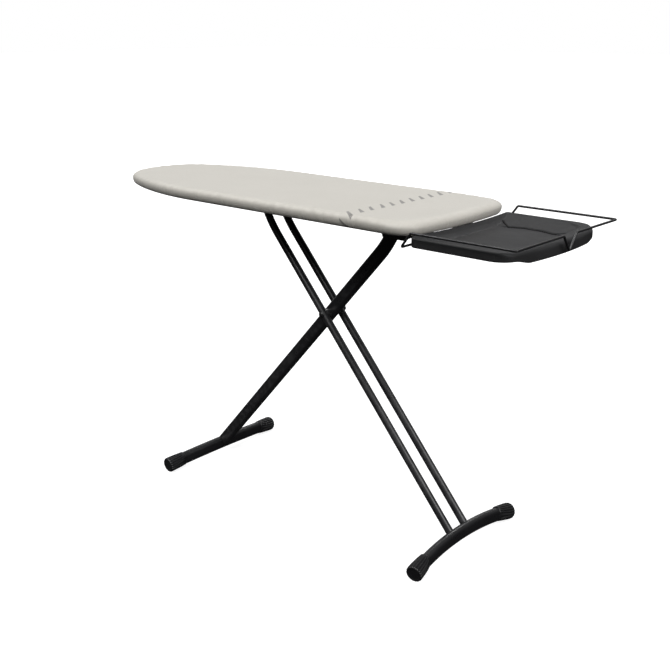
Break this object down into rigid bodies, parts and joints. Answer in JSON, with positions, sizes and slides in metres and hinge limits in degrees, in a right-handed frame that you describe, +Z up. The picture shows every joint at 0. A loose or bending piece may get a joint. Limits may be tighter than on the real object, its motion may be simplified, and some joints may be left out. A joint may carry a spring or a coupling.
{
  "type": "ironing board",
  "caption": "Folding ironing board: padded fabric-covered top with a rounded nose, crossed steel legs with foot bars, a moulded iron tray and a wire guard.",
  "frame": {"origin": "on the floor, below the middle of the object's extents", "axes": "+X along the board from the rounded nose to the iron tray, +Y across the board, +Z up"},
  "size_m": [1.4934, 0.4736, 0.92],
  "materials": {
    "cover_fabric": "matt woven cotton",
    "pad_foam": "felted padding",
    "black_metal": "black powder coat",
    "zinc_steel": "zinc plated, blackened heads",
    "tray_plastic": "moulded, fine grain",
    "black_plastic": "moulded, ribbed"
  },
  "bodies": {
    "board": {"board_cover": "cover_fabric", "foam_pad": "pad_foam", "mesh_panel": "black_metal", "rim_frame": "black_metal", "cross_brace_nose": "black_metal", "cross_brace_middle": "black_metal", "cross_brace_tray_end": "black_metal", "height_rack_near": "black_metal", "height_rack_far": "black_metal", "lever_hangers": "black_metal", "lever_spring": "zinc_steel", "hinge_housing": "black_metal", "leg_hinge_bracket": "black_metal", "hinge_pin": "zinc_steel", "hinge_pin_clips": "zinc_steel", "tray_carrier": "black_metal", "iron_tray": "tray_plastic", "tray_screws": "zinc_steel"},
    "rear_leg": {"inner_leg_tube": "black_metal", "inner_leg_plug": "black_plastic", "rear_foot_bar": "black_metal", "rear_foot_cap_near": "black_plastic", "rear_foot_cap_far": "black_plastic"},
    "front_leg": {"twin_tube_near": "black_metal", "twin_tube_far": "black_metal", "twin_tube_plugs": "black_plastic", "front_foot_bar": "black_metal", "front_foot_cap_near": "black_plastic", "front_foot_cap_far": "black_plastic", "slider_rod": "zinc_steel", "slider_end_caps": "black_plastic", "pivot_bolt": "black_metal", "pivot_nut": "black_metal", "pivot_bushes": "black_plastic"},
    "release": {"lever_shaft": "zinc_steel", "lock_comb": "black_metal", "release_lever": "black_metal", "lever_grip": "black_plastic"},
    "guard": {"guard_wire": "black_metal", "guard_collars": "black_plastic"}
  },
  "joints": [
    {"name": "fold", "type": "hinge", "parent": "board", "child": "rear_leg", "pos_m": [0.24425, 0, 0.862], "axis": [0, 1, 0], "range_deg": [0, 44.3]},
    {"name": "crossing", "type": "hinge", "parent": "rear_leg", "child": "front_leg", "pos_m": [0.01725, 0, 0.578], "axis": [0, 1, 0], "range_deg": [-88.6, 0]},
    {"name": "release_lift", "type": "hinge", "parent": "board", "child": "release", "pos_m": [-0.16975, 0.015, 0.886], "axis": [-1, 0, 0], "range_deg": [0, 6], "stiffness_Nm_per_rad": 1},
    {"name": "guard_lift", "type": "hinge", "parent": "board", "child": "guard", "pos_m": [0.43805, 0, 0.866], "axis": [0, -1, 0], "range_deg": [0, 95]}
  ],
  "couplings": [
    {"joint": "crossing", "follows": "fold", "ratio": -2}
  ]
}
